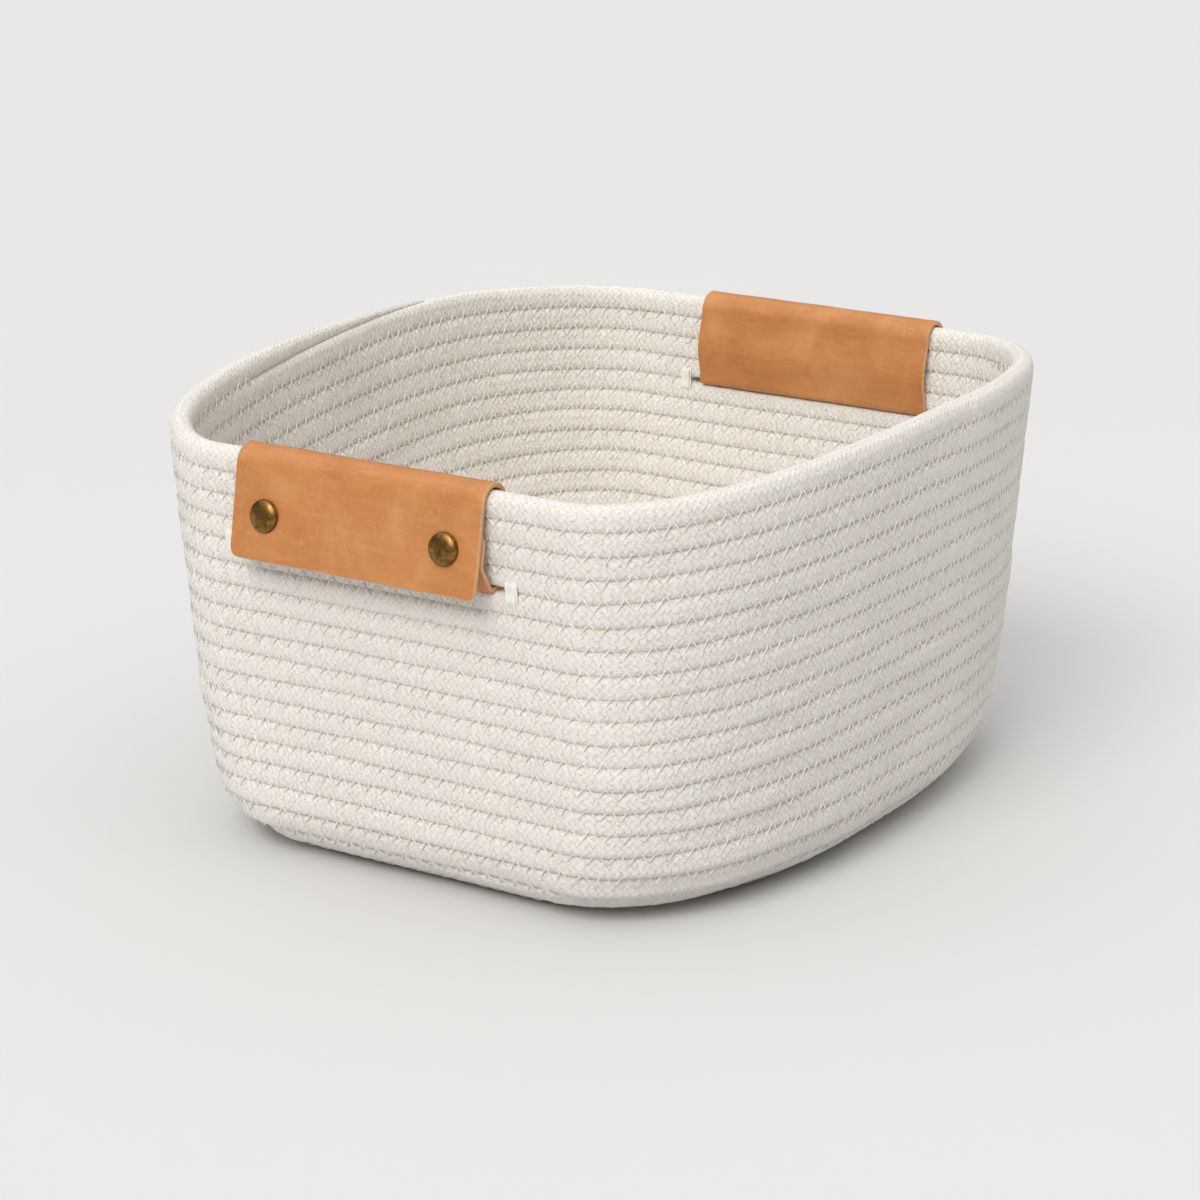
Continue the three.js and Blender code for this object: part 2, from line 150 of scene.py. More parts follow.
def plan_stations(steps=400):
    """Once round the plan, anticlockwise from the middle of the right end. Each station has its share
    of the half length, of the straight end, and of the long side's bow."""
    angle = np.linspace(0, math.pi / 2, steps)
    along = np.clip(np.cos(angle), 0, 1) ** (2 / SIDE_POWER)
    across = np.sin(angle) ** (2 / CORNER_POWER)
    up = np.linspace(0, 1, steps // 4)
    one, flat = np.ones(steps), np.zeros(steps // 4)
    parts = [
        (flat + 1, up, flat),
        (along, one, across),
        (-along[::-1], one, across[::-1]),
        (flat - 1, up[::-1], flat),
        (flat - 1, -up, flat),
        (-along, -one, -across),
        (along[::-1], -one, -across[::-1]),
        (flat + 1, -up[::-1], flat),
    ]
    return np.concatenate([np.stack(part, 1)[:-1] for part in parts] + [[[1, 0, 0]]])


def section(run, offset=0.0):
    """Inset and height of a point beside the rope's centre line, at a run down from the rim."""
    angle = WALL_LEAN + np.clip(run - WALL_RUN, 0, HEEL_RUN) / HEEL_RADIUS
    across = np.maximum(0, run - WALL_RUN - HEEL_RUN)
    down = np.minimum(run, WALL_RUN)
    bend = math.cos(WALL_LEAN) - np.cos(angle)
    drop = np.sin(angle) - math.sin(WALL_LEAN)
    inset = down * math.sin(WALL_LEAN) + HEEL_RADIUS * bend + across
    height = HEIGHT - ROPE_RADIUS - down * math.cos(WALL_LEAN) - HEEL_RADIUS * drop
    return inset - offset * np.cos(angle), height - offset * np.sin(angle)


STATIONS = plan_stations()


def plan_point(inset, height, along, end, across):
    """A point at an inset from the rim and a height, by its station's shares."""
    half_length, half_width = RIM_HALF_LENGTH - inset, RIM_HALF_WIDTH - inset
    fade = np.clip(half_width / (RIM_HALF_WIDTH - STRAIGHT_INSET), 0, 1) ** CORNER_GROWTH
    x = half_length * along
    y = END_STRAIGHT * fade * end + (half_width - END_STRAIGHT * fade) * across
    z = height * (1 + (1 - along**2) * RIM_ARCH / HEIGHT)
    return np.stack([x, y, z], -1)


def station_shares():
    """How far round the plan each station is, by the length of a course half way down the wall."""
    inset, height = section(WALL_RUN / 2)
    points = plan_point(inset, height, *STATIONS.T)
    steps = np.linalg.norm(np.diff(points, axis=0), axis=1)
    lengths = np.concatenate([[0], np.cumsum(steps)])
    return lengths / lengths[-1]


STATION_SHARES = station_shares()


def on_wall(run, share, offset=0.0):
    """A point of the basket, at a run down from the rim and a share of the way round the plan."""
    inset, height = section(run, offset)
    shares = (np.interp(share % 1, STATION_SHARES, STATIONS[:, i]) for i in range(3))
    return plan_point(inset, height, *shares)


BASE_START = (COURSES - 0.5) * PITCH
BASE_END = WALL_RUN + HEEL_RUN + RIM_HALF_WIDTH - section(WALL_RUN + HEEL_RUN)[0]
BASE_PITCH = (BASE_END - BASE_START) / BASE_TURNS


def turn_run(turn):
    """The run of the rope's centre line, in whole turns: level, with a step down in each."""
    whole = np.arange(-1, COURSES + BASE_TURNS + 1)
    levels = np.where(whole < COURSES, whole * PITCH, BASE_START + (whole - COURSES + 0.5) * BASE_PITCH)
    before = np.floor(turn).astype(int)
    step = smooth_step((turn - before) / STEP_SHARE)
    return levels[before] * (1 - step) + levels[before + 1] * step


# ---- The rope's path ----


def wall_frame(run, share):
    """The point of the wall's middle surface, and its outward and downward directions."""
    small = 0.5
    point = on_wall(run, share)
    along = on_wall(run, share + 2e-4) - on_wall(run, share - 2e-4)
    along /= np.linalg.norm(along, axis=-1, keepdims=True)
    out = on_wall(run, share, small) - on_wall(run, share, -small)
    out -= along * np.sum(out * along, -1, keepdims=True)
    out /= np.linalg.norm(out, axis=-1, keepdims=True)
    down = np.cross(along, out)
    spread = np.sum((on_wall(run + small, share) - on_wall(run - small, share)) * down, -1)
    return point, out, down, np.abs(spread)


def near_slit(point, reach=0.0):
    """How far inside a slit's length a point of the fourth or fifth course is, in millimetres."""
    centre = np.where(point[:, 0] > 0, HANDLE_SHIFT, -HANDLE_SHIFT)
    inside = SLIT_HALF_LENGTH + reach - np.abs(point[:, 1] - centre)
    return np.where(np.abs(point[:, 0]) > 0.8 * RIM_HALF_LENGTH, inside, -HIDDEN)


def rope_path():
    """The rope's rings from the tip on the rim to the middle of the base, evenly spaced."""
    last = COURSES + BASE_TURNS + 0.9 * STEP_SHARE
    turn = np.linspace(ROPE_TIP, last, int(last * PATH_STEPS))
    points = on_wall(turn_run(turn), turn + STEP_START)
    lengths = np.concatenate([[0], np.cumsum(np.linalg.norm(np.diff(points, axis=0), axis=1))])
    even = np.linspace(0, lengths[-1], int(lengths[-1] / ROPE_SPACING))
    return np.interp(even, lengths, turn), even


TURNS, LENGTHS = rope_path()


def length_at(turn):
    return np.interp(turn, TURNS, LENGTHS)


def sway(turn):
    """How far the rope strays out of the wall. Under the leather it lies flat."""
    point = on_wall(turn_run(turn), turn + STEP_START)
    free = smooth_step(-near_slit(point) / 25)
    low = smooth_step((turn_run(turn) - SLIT_RUN - 2 * PITCH) / (2 * PITCH))
    wander = waves(length_at(turn), 0, (61, 97, 143, 211, 317, 71), 0.32, seed=3)
    return wander * np.maximum(free, low)


def sag(turn):
    """How far the rope strays down the wall. Neighbouring turns stray together."""
    share = (turn + STEP_START) * 2 * math.pi
    run = turn_run(turn)
    free = np.clip(run / (6 * PITCH), 0, 1) * smooth_step((WALL_RUN - run) / (2 * PITCH))
    return free * 0.5 * np.sin(3 * share + run / 23) * np.sin(2 * share - run / 41 + 1)


# ---- Meshes ----


def new_mesh(name, points, faces, maps=None):
    """A smooth mesh of quads. Points are in millimetres. Each map holds one pair for each face corner."""
    mesh = bpy.data.meshes.new(name)
    mesh.vertices.add(len(points))
    mesh.vertices.foreach_set("co", (np.asarray(points) * MM).astype(np.float32).ravel())
    mesh.loops.add(faces.size)
    mesh.loops.foreach_set("vertex_index", faces.astype(np.int32).ravel())
    mesh.polygons.add(len(faces))
    mesh.polygons.foreach_set("loop_start", np.arange(0, faces.size, 4, dtype=np.int32))
    mesh.polygons.foreach_set("use_smooth", np.ones(len(faces), bool))
    for title, pairs in (maps or {}).items():
        layer = mesh.uv_layers.new(name=title)
        layer.uv.foreach_set("vector", pairs.astype(np.float32).ravel())
    mesh.update(calc_edges=True)
    return mesh


def new_piece(name, mesh, material, body, replaced=()):
    piece = bpy.data.objects.new(name, mesh)
    bpy.context.scene.collection.objects.link(piece)
    mesh.materials.append(material)
    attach(piece, body)
    if replaced:
        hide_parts(*replaced)


def ring_faces(rings, around):
    """Quads of a closed tube: rings one after another, each with the same number of points."""
    ring, side = np.meshgrid(np.arange(rings - 1), np.arange(around), indexing="ij")
    after = (side + 1) % around
    corners = [ring * around + side, ring * around + after, (ring + 1) * around + after]
    return np.stack([*corners, (ring + 1) * around + side], -1).reshape(-1, 4)


def corner_map(along, around):
    """Map pairs for ring_faces: a value for each ring, and one for each side and its next."""
    rings, sides = len(along) - 1, len(around) - 1
    u = np.stack([along[:-1], along[:-1], along[1:], along[1:]], -1)[:, None, :]
    v = np.stack([around[:-1], around[1:], around[1:], around[:-1]], -1)[None, :, :]
    return np.stack([np.broadcast_to(u, (rings, sides, 4)), np.broadcast_to(v, (rings, sides, 4))], -1)


# ---- The rope ----


def section_ring(power):
    """Evenly spaced points of a unit rope section, from its lower contact inwards, up and out."""
    angle = np.linspace(0, 2 * math.pi, 2001) + math.pi / 2
    out = np.sign(np.cos(angle)) * np.abs(np.cos(angle)) ** (2 / power)
    down = np.sign(np.sin(angle)) * np.abs(np.sin(angle)) ** (2 / power)
    length = np.concatenate([[0], np.cumsum(np.hypot(np.diff(out), np.diff(down)))])
    even = np.linspace(0, length[-1], ROPE_SIDES + 1)[:-1]
    return np.interp(even, length, out), np.interp(even, length, down)


def rope_rings(turn):
    """The points of the rope's rings at the given turns."""
    run = turn_run(turn) + sag(turn)
    point, out, down, spread = wall_frame(run, turn + STEP_START)
    point = point + out * sway(turn)[:, None]

    half = 0.548 * PITCH * spread
    upper, lower = half.copy(), half.copy()
    gap = SLIT_HALF_HEIGHT * smooth_step(near_slit(point, -1.5) / 5)
    lower -= gap * (np.floor(turn) == HANDLE_COURSES - 1)
    upper -= gap * (np.floor(turn) == HANDLE_COURSES)
    thickness = np.full(len(turn), ROPE_RADIUS)

    # Each end of the rope tapers, and fills the wedge beside the turn that steps away from it.
    tip = smooth_step(turn / STEP_SHARE)
    tail = 1 - smooth_step((turn - COURSES - BASE_TURNS) / STEP_SHARE)
    ends = (
        (turn < STEP_SHARE, tip, -0.5 * PITCH * (1 - tip)),
        (turn > COURSES + BASE_TURNS, tail, BASE_END - 0.5 * BASE_PITCH * tail),
    )
    for here, share, centre_run in ends:
        if here.any():
            point[here], out[here], down[here], _ = wall_frame(centre_run[here], turn[here] + STEP_START)
            upper[here] = lower[here] = (half * share)[here]
            thickness[here] *= np.sqrt(share[here])

    square_out, square_down = section_ring(ROPE_POWER)
    round_out, round_down = section_ring(2.1)
    top = (turn < 1)[:, None] * (round_down < -0.01)[None, :]
    ring_out = np.where(top, round_out, square_out)
    ring_down = np.where(top, round_down, square_down)
    around = np.linspace(0, 2 * math.pi, ROPE_SIDES + 1)[:-1][None, :]
    lump = 1 + waves(length_at(turn)[:, None], around, (5.3, 7.9, 11.7, 17.3, 26.9), 0.022, seed=8)
    across = ring_out * thickness[:, None] * lump
    along_wall = ring_down * np.where(ring_down > 0, lower[:, None], upper[:, None])
    rings = point[:, None] + out[:, None] * across[..., None] + down[:, None] * along_wall[..., None]
    rings[..., 2] = np.maximum(rings[..., 2], FLOOR_GAP)
    return rings


def seam_map(turn):
    """Where each face corner is along the nearest seam, in stitches, and how far below or above it."""
    quarter = ROPE_SIDES // 4
    own = length_at(turn) / STITCH
    other = length_at(turn - 1) / STITCH
    point = on_wall(turn_run(turn), turn + STEP_START)
    slit = near_slit(point, 2) > 0
    own_open = (slit & (np.floor(turn) == HANDLE_COURSES - 1)) | (turn > TURNS[-1] - 1) | (turn < 0.1)
    other_open = (slit & (np.floor(turn) == HANDLE_COURSES)) | (turn < 1.1)
    around = np.linspace(0, ROPE_GIRTH, ROPE_SIDES + 1)
    lower = np.minimum(around, ROPE_GIRTH - around)
    upper = -np.abs(around - ROPE_GIRTH / 2)
    pairs = corner_map(own, lower)
    pairs_above = corner_map(other, upper)
    sides = np.arange(ROPE_SIDES)
    is_upper = (sides >= quarter) & (sides < 3 * quarter)
    pairs[:, is_upper] = pairs_above[:, is_upper]
    pairs[np.ix_(own_open[:-1], ~is_upper)] = HIDDEN
    pairs[np.ix_(other_open[:-1], is_upper)] = HIDDEN
    return pairs


def rope_piece(name, first, last, material, replaced):
    """A run of the rope, from one turn to another."""
    inside = np.flatnonzero((TURNS >= first) & (TURNS <= last))
    chosen = np.arange(inside[0], min(inside[-1] + 2, len(TURNS)))
    turn = TURNS[chosen]
    rings = rope_rings(turn)
    maps = {
        "rope": corner_map(LENGTHS[chosen], np.linspace(0, ROPE_GIRTH, ROPE_SIDES + 1)),
        "seam": seam_map(turn),
    }
    faces = ring_faces(len(chosen), ROPE_SIDES)
    mesh = new_mesh(name, rings.reshape(-1, 3), faces, maps)
    new_piece(name, mesh, material, "basket", replaced)


def make_rope(material):
    rope_piece("rope_coil_rim", 0, HANDLE_COURSES, material, ["rope_rim_band"])
    rope_piece("rope_coil_wall_upper", HANDLE_COURSES, WALL_MIDDLE, material, ["rope_wall"])
    rope_piece("rope_coil_wall_lower", WALL_MIDDLE, HEEL_COURSE, material, ["rope_wall"])
    rope_piece("rope_coil_heel", HEEL_COURSE, COURSES, material, ["rope_heel"])
    rope_piece("rope_coil_base", COURSES, TURNS[-1], material, ["rope_base"])


# ---- The zigzag thread ----


def tube(path, radius, sides=4):
    """Rings round a path of points."""
    along = np.gradient(path, axis=0)
    along /= np.linalg.norm(along, axis=1, keepdims=True)
    aside = np.cross(along, [0.31, 0.52, 0.79])
    aside /= np.linalg.norm(aside, axis=1, keepdims=True)
    up = np.cross(along, aside)
    angle = np.arange(sides) * 2 * math.pi / sides
    round_it = np.cos(angle)[None, :, None] * aside[:, None] + np.sin(angle)[None, :, None] * up[:, None]
    return path[:, None] + round_it * np.broadcast_to(radius, len(path))[:, None, None]


def seam_points(first, last, side):
    """The zigzag's corners between two turns, as points on one face of the wall, and whether each
    is sewn. Side is 1 outside and -1 inside."""
    start, end = length_at(first), length_at(last)
    half_stitches = np.arange(math.ceil(2 * start / STITCH), math.floor(2 * end / STITCH))
    lower = half_stitches % 2 == 1
    rng = np.random.default_rng(40 + side)
    shoulder = 0.14
    points, sewn = [], []
    for part, reach, sink in ((-shoulder, 0.82, 0.1), (0, 1, -0.5), (shoulder, 0.82, 0.1)):
        length = (half_stitches + part) * STITCH / 2
        turn = np.interp(length, LENGTHS, TURNS)
        following = np.minimum(turn + 1, TURNS[-1])
        run = (turn_run(turn) + turn_run(following) + sag(turn) + sag(following)) / 2
        point, out, down, _ = wall_frame(run, turn + STEP_START)
        jitter = rng.normal(0, 0.3, len(turn))
        below = np.where(lower, 1, -1) * (reach * NEEDLE_REACH + jitter)
        swayed = (sway(turn) + sway(following)) / 2
        height = side * (0.965 * ROPE_RADIUS + sink) + swayed
        points.append(point + down * below[:, None] + out * height[:, None])
        slit = (np.floor(turn) == HANDLE_COURSES - 1) & (near_slit(point, 1) > 0)
        sewn.append(~slit & (turn < TURNS[-1] - 1))
    return np.stack(points, 1).reshape(-1, 3), np.stack(sewn, 1).reshape(-1)


def runs_of(flags):
    """Start and end of each run of true values."""
    edges = np.flatnonzero(np.diff(np.concatenate([[0], flags.astype(int), [0]])))
    return zip(edges[::2], edges[1::2])


def thread_piece(name, first, last, material, replaced):
    points, faces, count = [], [], 0
    for side in (1, -1):
        path, sewn = seam_points(first, last, side)
        for start, end in runs_of(sewn):
            if end - start < 4:
                continue
            rings = tube(path[start:end], THREAD_RADIUS)
            rings[..., 2] = np.maximum(rings[..., 2], FLOOR_GAP)
            points.append(rings.reshape(-1, 3))
            faces.append(ring_faces(end - start, 4) + count)
            count += rings.shape[0] * 4
    mesh = new_mesh(name, np.concatenate(points), np.concatenate(faces))
    new_piece(name, mesh, material, "basket", replaced)


def make_seams(material):
    rim_nodes = ["seam_thread_rim_front", "seam_thread_rim_back"]
    thread_piece("seam_zigzag_rim", FIRST_STITCH, HANDLE_COURSES, material, rim_nodes)
    thread_piece("seam_zigzag_wall_upper", HANDLE_COURSES, WALL_MIDDLE, material, [])
    thread_piece("seam_zigzag_wall_lower", WALL_MIDDLE, HEEL_COURSE, material, ["seam_thread_heel"])
    thread_piece("seam_zigzag_heel", HEEL_COURSE, COURSES, material, ["seam_thread_base"])
    thread_piece("seam_zigzag_base", COURSES, LAST_STITCH, material, [])


# ---- Handles ----


def end_matrix(end):
    """From the wall's frame at one end (X outwards, Z up the wall) to the basket's, in millimetres."""
    place = Matrix.Translation((RIM_HALF_LENGTH, HANDLE_SHIFT, HEIGHT - ROPE_RADIUS))
    lean = place @ Matrix.Rotation(WALL_LEAN, 4, "Y")
    return Matrix.Rotation(math.pi, 4, "Z") @ lean if end == "left" else lean


def side_of(end, place):
    """The sign of Y towards the front or the back, in an end's own frame. The left end's is turned."""
    return (-1 if place == "front" else 1) * (-1 if end == "left" else 1)


def at_end(points, end):
    matrix = np.array(end_matrix(end))
    return np.asarray(points) @ matrix[:3, :3].T + matrix[:3, 3]


def beside_flap(down, out=0.0):
    """A point beside the flap: down it from the rim's fold, and out from its middle."""
    reach = RIM_FOLD + out
    x = reach * math.cos(FLAP_TILT) + down * math.sin(FLAP_TILT)
    return np.stack([x, reach * math.sin(FLAP_TILT) - down * math.cos(FLAP_TILT)], -1)


def arc(centre_x, centre_z, radius, start, end):
    angle = np.linspace(start, end, 40)
    return np.stack([centre_x + radius * np.cos(angle), centre_z + radius * np.sin(angle)], -1)


def bow(from_x, to_x, from_z, to_z):
    part = np.linspace(0, 1, 30)[1:-1]
    ease = (1 - np.cos(part * math.pi)) / 2
    return np.stack([from_x + (to_x - from_x) * ease, from_z + (to_z - from_z) * part], -1)


def strap_line():
    """The strap's middle line in X and Z: down the tail, through the slit, up the inside in a bow, over
    the rim and down the flap. Evenly spaced, with its bends eased."""
    foot_z = SLIT_Z + SLIT_FOLD
    parts = [
        beside_flap(np.array([TAIL_TOP, TAIL_BOTTOM]), TAIL_OUT),
        arc(FOOT_X - SLIT_FOLD, foot_z, SLIT_FOLD, 0, -math.pi / 2),
        arc(PANEL_X + SLIT_FOLD, foot_z, SLIT_FOLD, -math.pi / 2, -math.pi),
        bow(PANEL_X, PANEL_X - PANEL_BOW, foot_z, SLIT_Z / 2),
        bow(PANEL_X - PANEL_BOW, -RIM_FOLD, SLIT_Z / 2, 0),
        arc(0, 0, RIM_FOLD, math.pi, FLAP_TILT),
        beside_flap(np.array([LIP_DOWN])),
    ]
    line = np.concatenate(parts)
    length = np.concatenate([[0], np.cumsum(np.linalg.norm(np.diff(line, axis=0), axis=1))])
    even = np.linspace(0, length[-1], 220)
    line = np.stack([np.interp(even, length, line[:, i]) for i in range(2)], 1)
    for _ in range(4):
        line[1:-1] = (line[:-2] + 2 * line[1:-1] + line[2:]) / 4
    return line, even


def strap_profile(columns=72, bevel=5):
    """Round the strap's section, with the worn edges as quarter rounds. Each point has its shares of the
    flat half width, of the edge's radius across and of it in thickness. The last value is 1 on a cut edge."""
    flat = np.linspace(-1, 1, columns)
    quarter = np.linspace(0, math.pi / 2, bevel)
    face = np.stack([flat, np.zeros(columns), np.ones(columns), np.zeros(columns)], 1)
    right = np.stack([np.ones(bevel), np.sin(quarter), np.cos(quarter), np.sin(quarter) ** 2], 1)
    right = np.concatenate([right, right[::-1] * [1, 1, -1, 1]])[1:-1]
    left = right[::-1] * [-1, -1, 1, 1]
    return np.concatenate([face, right, face[::-1] * [1, 1, -1, 1], left])


def leather_shift(line, length, across, y, seed):
    """How far the strap strays out of its middle line. The leather is a little uneven, is drawn in round
    each rivet, and its flap stands off between them."""
    from_lip, from_tail = length[-1] - length, length
    flap = smooth_step((LIP_DOWN - from_lip) / 12)[:, None]
    tail = smooth_step((TAIL_BOTTOM - TAIL_TOP + 12 - from_tail) / 4)[:, None]
    shift = waves(length[:, None], across[None, :] * 3, (23, 37, 61), 0.08, seed)
    shift = shift + waves(y, 0 * y, (29, 47, 83), 0.12, seed + 5) * (1 - tail)
    for rivet in (-1, 1):
        apart = np.hypot(y - rivet * RIVET_SPACING / 2, from_lip[:, None] - LIP_DOWN + RIVET_DOWN)
        shift = shift - 0.3 * flap * np.exp(-((apart / 8.5) ** 2))
    shift = shift + 0.5 * flap * np.cos(np.clip(y / RIVET_SPACING, -0.5, 0.5) * math.pi)
    lip = smooth_step((14 - from_lip) / 14)[:, None]
    shift = shift + 0.55 * lip * waves(y, 0 * y, (31, 53, 90), 1, seed + 9)
    shift = np.where(line[:, 0][:, None] < FOOT_X, np.clip(shift, -0.05, 0.4), shift)
    return np.where(tail > 0.5, np.clip(shift, -0.1, 0.1), shift)


def strap_mesh(name, end):
    line, length = strap_line()
    profile = strap_profile()
    along = np.gradient(line, axis=0)
    along /= np.linalg.norm(along, axis=1, keepdims=True)
    aside = np.stack([-along[:, 1], along[:, 0]], 1)
    total = length[-1]
    near = np.minimum(total - length, length)
    corner = np.clip(FLAP_CORNER - near, 0, FLAP_CORNER)
    half_width = HANDLE_WIDTH / 2 - FLAP_CORNER + np.sqrt(FLAP_CORNER**2 - corner**2)
    lip_round = np.clip(EDGE_ROUND - near, 0, EDGE_ROUND)
    trim = EDGE_ROUND - np.sqrt(EDGE_ROUND**2 - lip_round**2)

    y = profile[None, :, 0] * (half_width[:, None] - EDGE_ROUND) + profile[None, :, 1] * EDGE_ROUND
    flat_half = LEATHER / 2 - EDGE_ROUND
    side = np.sign(profile[:, 2]) * (np.abs(profile[:, 2]) * EDGE_ROUND + flat_half)
    depth = side[None, :] * (1 - trim / (LEATHER / 2))[:, None]

    shift = leather_shift(line, length, profile[:, 0], y, seed=21 if end == "left" else 22)
    x = line[:, 0][:, None] + aside[:, 0][:, None] * (depth + shift)
    z = line[:, 1][:, None] + aside[:, 1][:, None] * (depth + shift)
    rings = np.stack([x, y, z], -1)
    first, last = (one.mean(1, keepdims=True).repeat(len(profile), 1) for one in (rings[:1], rings[-1:]))
    closed = np.concatenate([first, rings, last])
    closed[0, :, 1] = rings[0, :, 1]
    closed[-1, :, 1] = rings[-1, :, 1]
    padded = np.concatenate([[length[0]], length, [length[-1]]])
    around = profile.shape[0]
    faces = ring_faces(len(closed), around)[:, ::-1]
    ring, side_index = np.divmod(faces, around)
    flat_map = np.stack([padded[ring], closed[ring, side_index, 1]], -1)
    near_end = np.clip((EDGE_ROUND - np.minimum(padded, total - padded)) / EDGE_ROUND, 0, 1)
    edge = np.maximum(profile[side_index, 3], near_end[ring])
    edge_map = np.stack([edge, (profile[side_index, 2] + 1) / 2], -1)
    return new_mesh(name, at_end(closed.reshape(-1, 3), end), faces, {"strap": flat_map, "edge": edge_map})


def lathe_mesh(name, profile, y, out, end, sides=56):
    """A turned piece on the flap, its axis out of it. The profile is pairs of radius and height."""
    profile = np.asarray(profile, float)
    angle = np.arange(sides) * 2 * math.pi / sides
    radius, height = profile[:, 0][:, None], profile[:, 1][:, None]
    place = beside_flap(RIVET_DOWN - radius * np.sin(angle), out + height)
    rings = np.stack([place[..., 0], y + radius * np.cos(angle), place[..., 1]], -1)
    return new_mesh(name, at_end(rings.reshape(-1, 3), end), ring_faces(len(profile), sides))


def cap_profile():
    """A low domed cap with a thin rim rolled under it."""
    dome = [(6 * math.cos(a), 0.95 + 2.05 * math.sin(a)) for a in np.linspace(0.16, math.pi / 2, 14)]
    rim = [(0.01, 0.05), (5.2, 0.05), (5.75, 0.1), (6.02, 0.3), (6.08, 0.6), (6.02, 0.9), (5.93, 1.08)]
    return rim + dome[1:-1] + [(0.01, 3.0)]


def make_handle(end, leather, brass):
    body = f"{end}_handle"
    mesh = strap_mesh(f"{end}_leather_wrap", end)
    new_piece(f"{end}_leather_wrap", mesh, leather, body, [f"{end}_handle_leather"])
    for place in ("front", "back"):
        side = side_of(end, place)
        name = f"{end}_rivet_dome_{place}"
        mesh = lathe_mesh(name, cap_profile(), side * RIVET_SPACING / 2, LEATHER / 2 - 0.15, end)
        new_piece(name, mesh, brass, body, [f"{end}_rivet_cap_{place}"])
        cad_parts[f"{end}_rivet_post_{place}"].data.materials.clear()
        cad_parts[f"{end}_rivet_post_{place}"].data.materials.append(brass)


def bar_tack_mesh(name, end, y_middle, seed):
    """The thread bar at the end of a slit: strands side by side over both faces of the wall."""
    rng = np.random.default_rng(seed)
    strands, reach, length = 17, 4.6, 5.2
    outermost = length / 2 - 0.25  # a wrap at its slide limit stops just beside this
    points, faces, count = [], [], 0
    for strand in range(strands):
        beside = (2 * strand / (strands - 1) - 1) * outermost
        for side in (1, -1):
            slant = rng.normal(0, 0.22, 2)
            z = np.linspace(-reach, reach, 13) + rng.normal(0, 0.15)
            share = (z - z[0]) / (z[-1] - z[0])
            crest = ROPE_RADIUS + 0.42 - 0.35 * np.exp(-((z / 1.6) ** 2)) + rng.uniform(0, 0.14)
            ends = np.clip(np.minimum(share, 1 - share) / 0.12, 0, 1)
            x = side * (crest - 1.0 * (1 - smooth_step(ends)))
            leaning = beside + slant[0] * (1 - share) + slant[1] * share
            y = y_middle + np.clip(leaning, -outermost, outermost)
            line = np.stack([x, y, z + SLIT_Z], 1)
            rings = tube(line, BAR_THREAD_RADIUS, 6)
            points.append(rings.reshape(-1, 3))
            faces.append(ring_faces(len(line), 6) + count)
            count += rings.shape[0] * 6
    return new_mesh(name, at_end(np.concatenate(points), end), np.concatenate(faces))


def make_bar_tacks(material):
    for end in ("left", "right"):
        for place in ("front", "back"):
            side = side_of(end, place)
            y = side * (SLIT_HALF_LENGTH - FIT - BAR_TACK / 2)
            name = f"{end}_bar_tack_threads_{place}"
            mesh = bar_tack_mesh(name, end, y, seed=len(name) + side)
            new_piece(name, mesh, material, "basket", [f"{end}_bar_tack_{place}"])


# ---- Materials ----


class Shader:
    """A material's node tree, with short ways to add to it."""

    def __init__(self, name, settings):
        self.material = bpy.data.materials.new(name)
        self.material.use_nodes = True
        self.tree = self.material.node_tree
        self.surface = self.tree.nodes["Principled BSDF"]
        for socket, value in settings.items():
            self.surface.inputs[socket].default_value = value

    def node(self, kind, inputs=None, **settings):
        made = self.tree.nodes.new("ShaderNode" + kind)
        for key, value in settings.items():
            setattr(made, key, value)
        for key, value in (inputs or {}).items():
            self.set(made.inputs[key], value)
        return made

    def set(self, socket, value):
        if isinstance(value, bpy.types.NodeSocket):
            self.tree.links.new(value, socket)
        else:
            socket.default_value = value

    def math(self, operation, *values):
        return self.node("Math", dict(enumerate(values)), operation=operation).outputs[0]

    def uv(self, name):
        split = self.node("SeparateXYZ", {0: self.node("UVMap", uv_map=name).outputs[0]})
        return split.outputs[0], split.outputs[1]

    def join(self, x, y, z=0.0):
        return self.node("CombineXYZ", {0: x, 1: y, 2: z}).outputs[0]

    def place(self):
        return self.node("TexCoord").outputs["Object"]

    def noise(self, vector, scale, detail=2.0, roughness=0.5, distortion=0.0):
        inputs = {"Vector": vector, "Scale": scale, "Detail": detail, "Roughness": roughness}
        inputs["Distortion"] = distortion
        return self.node("TexNoise", inputs).outputs[0]

    def ramp(self, value, low, high, to_low=0.0, to_high=1.0):
        inputs = {"Value": value, "From Min": low, "From Max": high, "To Min": to_low, "To Max": to_high}
        return self.node("MapRange", inputs, clamp=True).outputs[0]

    def mix(self, share, a, b, blend="MIX"):
        made = self.node("Mix", data_type="RGBA", blend_type=blend)
        for index, value in ((0, share), (6, a), (7, b)):
            self.set(made.inputs[index], value)
        return made.outputs[2]

    def bump(self, height, distance, strength=1.0):
        inputs = {"Height": height, "Distance": distance * MM, "Strength": strength}
        return self.node("Bump", inputs).outputs[0]

    def cell_edges(self, vector, scale):
        inputs = {"Vector": vector, "Scale": scale}
        return self.node("TexVoronoi", inputs, feature="DISTANCE_TO_EDGE").outputs[0]

    def link(self, sockets):
        for name, value in sockets.items():
            self.set(self.surface.inputs[name], value)


def colour(red, green, blue):
    """A display colour, from 0 to 255 a channel, as linear values."""
    channels = [c / 255 for c in (red, green, blue)]
    linear = [c / 12.92 if c <= 0.04045 else ((c + 0.055) / 1.055) ** 2.4 for c in channels]
    return (*linear, 1.0)


